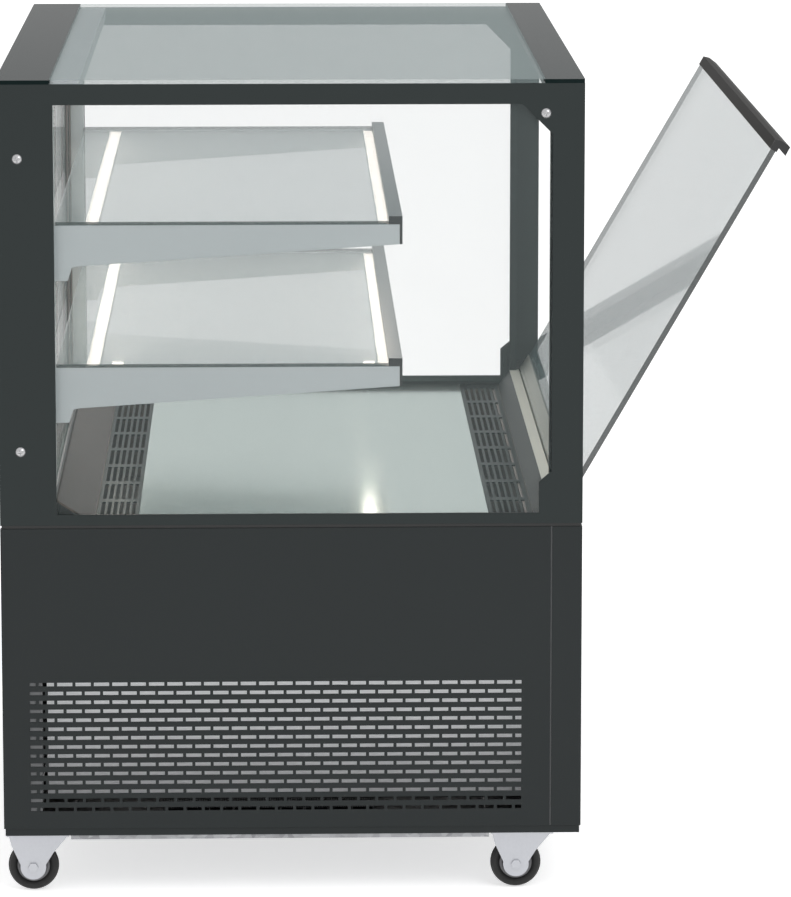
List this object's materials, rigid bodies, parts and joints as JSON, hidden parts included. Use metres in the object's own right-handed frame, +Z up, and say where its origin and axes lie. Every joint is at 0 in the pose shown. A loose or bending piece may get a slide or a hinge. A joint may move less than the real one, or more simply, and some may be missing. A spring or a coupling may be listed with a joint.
{
  "type": "pastry display case",
  "caption": "Glazed refrigerated display case on swivel castors, with glass shelves, a tilting front glass, sliding rear doors and a slotted machine base.",
  "frame": {"origin": "on the floor, under the middle of the whole outline with the front glass open", "axes": "+Z up, -Y towards the customer's side, +X to the right seen from the customer's side"},
  "size_m": [1.2, 1.1484, 1.21],
  "materials": {
    "dark_paint": "fine satin powder coat, charcoal",
    "galvanised": "galvanised sheet",
    "black_plastic": "moulded, matt",
    "switch_plastic": "moulded, glossy",
    "liner": "coated sheet, pale grey",
    "zinc": "bright zinc plate",
    "filter_grey": "grey filter pad in a frame",
    "aluminium_fin": "thin fins",
    "fan_plastic": "moulded blades",
    "black_steel": "gloss black enamel",
    "white_plastic": "moulded, white",
    "stainless": "polished stainless",
    "clear_glass": "clear toughened glass",
    "top_glass": "clear toughened glass with a dark printed border",
    "shelf_glass": "clear glass with dark green edges",
    "tilt_glass": "clear toughened glass",
    "pale_steel": "pale grey coated steel",
    "track_aluminium": "satin anodised",
    "door_profile": "satin anodised",
    "sill_aluminium": "satin anodised, slightly warm grey",
    "nosing": "price rail, grey with a dark lower lip",
    "lamp_aluminium": "satin anodised",
    "lamp_lens": "opal diffuser",
    "handle_bronze": "dark bronze anodised",
    "tyre": "black rubber"
  },
  "bodies": {
    "cabinet": {"base_frame": "dark_paint", "base_tray": "galvanised", "left_side_panel": "dark_paint", "right_side_panel": "dark_paint", "front_panel": "dark_paint", "rear_panel": "dark_paint", "control_panel": "black_plastic", "mains_inlet": "black_plastic", "cooling_tub": "liner", "castor_plates": "zinc", "intake_filter": "filter_grey", "condenser_coil": "aluminium_fin", "condenser_fan_shroud": "galvanised", "compressor": "black_steel", "condensate_tray": "white_plastic", "evaporator_coil": "aluminium_fin", "evaporator_fan_plate": "galvanised", "deck_tray": "stainless", "rear_air_grille": "stainless", "front_air_grille": "stainless", "left_side_frame": "dark_paint", "right_side_frame": "dark_paint", "side_glasses": "clear_glass", "rear_portal": "pale_steel", "rear_sill": "stainless", "door_tracks": "track_aluminium", "lamp_canopy": "pale_steel", "front_rail": "dark_paint", "front_sill": "sill_aluminium", "hinge_blocks": "black_plastic", "front_portal": "pale_steel", "top_glass": "top_glass", "lower_shelf_glass": "shelf_glass", "upper_shelf_glass": "shelf_glass", "shelf_brackets": "pale_steel", "shelf_nosings": "nosing", "lamp_channels": "lamp_aluminium", "lamp_diffusers": "lamp_lens"},
    "front_door": {"front_door_glass": "tilt_glass", "front_door_channel": "sill_aluminium", "front_door_handle": "handle_bronze", "front_door_caps": "black_plastic"},
    "left_door": {"left_door_glass": "clear_glass", "left_door_profiles": "door_profile"},
    "right_door": {"right_door_glass": "clear_glass", "right_door_profiles": "door_profile"},
    "condenser_fan": {"condenser_fan": "fan_plastic"},
    "left_evaporator_fan": {"left_evaporator_fan": "fan_plastic"},
    "right_evaporator_fan": {"right_evaporator_fan": "fan_plastic"},
    "lamp_switch": {"lamp_switch": "switch_plastic"},
    "rear_left_castor_swivel": {"rear_left_castor_fork": "zinc"},
    "rear_left_castor_wheel": {"rear_left_castor_wheel": "tyre"},
    "rear_right_castor_swivel": {"rear_right_castor_fork": "zinc"},
    "rear_right_castor_wheel": {"rear_right_castor_wheel": "tyre"},
    "front_left_castor_swivel": {"front_left_castor_fork": "zinc"},
    "front_left_castor_wheel": {"front_left_castor_wheel": "tyre"},
    "front_right_castor_swivel": {"front_right_castor_fork": "zinc"},
    "front_right_castor_wheel": {"front_right_castor_wheel": "tyre"}
  },
  "joints": [
    {"name": "front_door_tilt", "type": "hinge", "parent": "cabinet", "child": "front_door", "pos_m": [0, -0.25177, 0.588], "axis": [-1, 0, 0], "range_deg": [0, 30]},
    {"name": "left_door_slide", "type": "slide", "parent": "cabinet", "child": "left_door", "axis": [1, 0, 0], "range_m": [0, 0.547]},
    {"name": "right_door_slide", "type": "slide", "parent": "cabinet", "child": "right_door", "axis": [-1, 0, 0], "range_m": [0, 0.547]},
    {"name": "rear_left_castor_swivel", "type": "hinge", "parent": "cabinet", "child": "rear_left_castor_swivel", "pos_m": [-0.556, 0.52523, 0.087], "axis": [0, 0, 1], "continuous": true},
    {"name": "rear_left_castor_roll", "type": "hinge", "parent": "rear_left_castor_swivel", "child": "rear_left_castor_wheel", "pos_m": [-0.556, 0.53323, 0.0375], "axis": [1, 0, 0], "continuous": true},
    {"name": "rear_right_castor_swivel", "type": "hinge", "parent": "cabinet", "child": "rear_right_castor_swivel", "pos_m": [0.556, 0.52523, 0.087], "axis": [0, 0, 1], "continuous": true},
    {"name": "rear_right_castor_roll", "type": "hinge", "parent": "rear_right_castor_swivel", "child": "rear_right_castor_wheel", "pos_m": [0.556, 0.53323, 0.0375], "axis": [1, 0, 0], "continuous": true},
    {"name": "front_left_castor_swivel", "type": "hinge", "parent": "cabinet", "child": "front_left_castor_swivel", "pos_m": [-0.556, -0.18977, 0.087], "axis": [0, 0, 1], "continuous": true},
    {"name": "front_left_castor_roll", "type": "hinge", "parent": "front_left_castor_swivel", "child": "front_left_castor_wheel", "pos_m": [-0.556, -0.18177, 0.0375], "axis": [1, 0, 0], "continuous": true},
    {"name": "front_right_castor_swivel", "type": "hinge", "parent": "cabinet", "child": "front_right_castor_swivel", "pos_m": [0.556, -0.18977, 0.087], "axis": [0, 0, 1], "continuous": true},
    {"name": "front_right_castor_roll", "type": "hinge", "parent": "front_right_castor_swivel", "child": "front_right_castor_wheel", "pos_m": [0.556, -0.18177, 0.0375], "axis": [1, 0, 0], "continuous": true},
    {"name": "condenser_fan_spin", "type": "hinge", "parent": "cabinet", "child": "condenser_fan", "pos_m": [-0.394, 0.18423, 0.2265], "axis": [1, 0, 0], "continuous": true},
    {"name": "left_evaporator_fan_spin", "type": "hinge", "parent": "cabinet", "child": "left_evaporator_fan", "pos_m": [-0.22, 0.21323, 0.484], "axis": [0, -1, 0], "continuous": true},
    {"name": "right_evaporator_fan_spin", "type": "hinge", "parent": "cabinet", "child": "right_evaporator_fan", "pos_m": [0.22, 0.21323, 0.484], "axis": [0, -1, 0], "continuous": true},
    {"name": "lamp_switch_rock", "type": "hinge", "parent": "cabinet", "child": "lamp_switch", "pos_m": [0.415, 0.56273, 0.44], "axis": [-1, 0, 0], "range_deg": [0, 7]}
  ]
}
